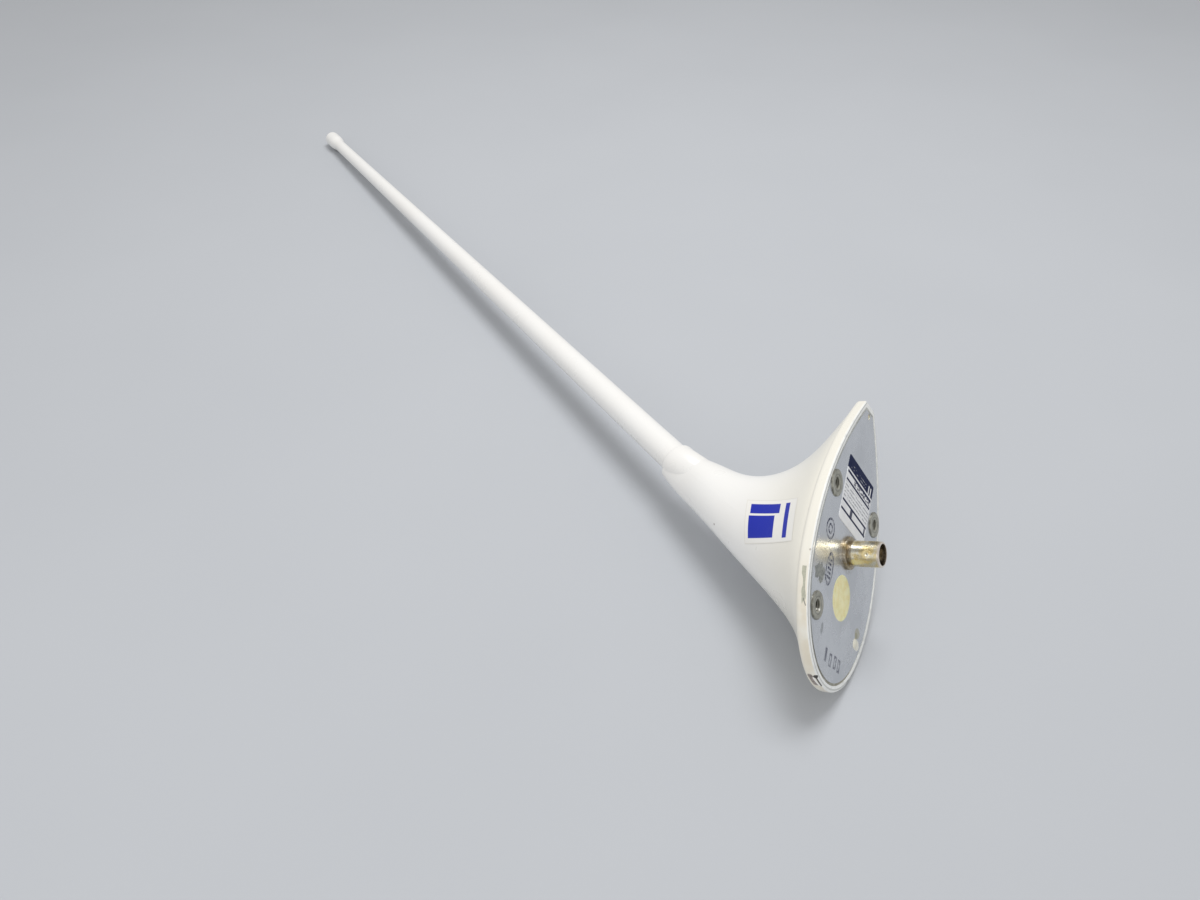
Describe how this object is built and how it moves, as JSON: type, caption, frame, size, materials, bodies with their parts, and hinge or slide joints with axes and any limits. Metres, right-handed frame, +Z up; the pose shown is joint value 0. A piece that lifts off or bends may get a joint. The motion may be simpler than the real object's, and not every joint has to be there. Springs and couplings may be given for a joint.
{
  "type": "aircraft radio antenna",
  "caption": "Raked whip antenna on a flared base with a pointed aft end, a bayonet coaxial jack and threaded inserts underneath.",
  "frame": {"origin": "on the jack's axis, in the plane of the base plate's underside", "axes": "+X forward, to the round end of the base; +Y port; +Z up, away from the aircraft's skin"},
  "size_m": [0.3676, 0.065, 0.4695],
  "materials": {
    "white_shell": "gloss",
    "filling": "matte",
    "plate_metal": "satin",
    "sealant": "matte",
    "resin": "satin",
    "insert_steel": "dull",
    "jack_plating": "worn satin",
    "plated_steel": "satin",
    "insulator": "satin",
    "contact_gold": "satin",
    "seal_rubber": "matte",
    "board": "satin",
    "standoff_brass": "satin",
    "screw_steel": "bright",
    "copper": "bright",
    "capacitor": "satin",
    "rod_metal": "mill",
    "label": "satin"
  },
  "bodies": {
    "root": {"base_plate": "plate_metal", "board_screw_1": "screw_steel", "board_screw_2": "screw_steel", "board_screw_3": "screw_steel", "board_screw_4": "screw_steel", "board_standoff_1": "standoff_brass", "board_standoff_2": "standoff_brass", "board_standoff_3": "standoff_brass", "board_standoff_4": "standoff_brass", "connector_body": "jack_plating", "connector_contact": "contact_gold", "connector_insulator": "insulator", "connector_nut": "plated_steel", "connector_seal": "seal_rubber", "data_label": "label", "edge_sealant": "sealant", "feed_wire": "copper", "foam_core": "filling", "insert_aft_port": "insert_steel", "insert_aft_starboard": "insert_steel", "insert_fore_port": "insert_steel", "lock_washer": "plated_steel", "matching_board": "board", "matching_coil": "copper", "potting_plug": "resin", "radiator_lead": "copper", "radiator_rod": "rod_metal", "radome_shell": "white_shell", "series_capacitor": "capacitor", "tip_cap": "white_shell", "vent_plug_aft": "resin", "vent_plug_fore": "resin", "whip_sleeve": "white_shell"}
  },
  "joints": []
}
